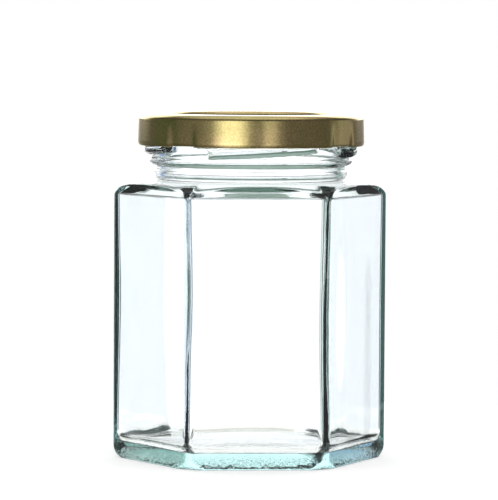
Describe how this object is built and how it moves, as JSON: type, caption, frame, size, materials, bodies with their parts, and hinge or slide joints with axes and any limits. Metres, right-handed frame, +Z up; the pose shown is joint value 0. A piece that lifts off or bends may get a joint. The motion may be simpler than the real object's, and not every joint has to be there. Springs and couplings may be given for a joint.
{
  "type": "hexagonal glass jar",
  "caption": "Empty clear glass preserve jar with flat sides, a round screw neck and a gold twist-off lid.",
  "frame": {"origin": "middle of the base, on the plane that the jar stands on", "axes": "+Z up through the mouth; -Y out of the flat side that shows in front; X through two of the six upright edges"},
  "size_m": [0.0774, 0.068, 0.098],
  "materials": {
    "clear_glass": "clear soda-lime glass with a pale blue-green tint, fire-polished",
    "gold_lacquered_tinplate": "satin gold lacquer on pressed tinplate"
  },
  "bodies": {
    "root": {"glass_jar": "clear_glass", "lid": "gold_lacquered_tinplate"}
  },
  "joints": []
}
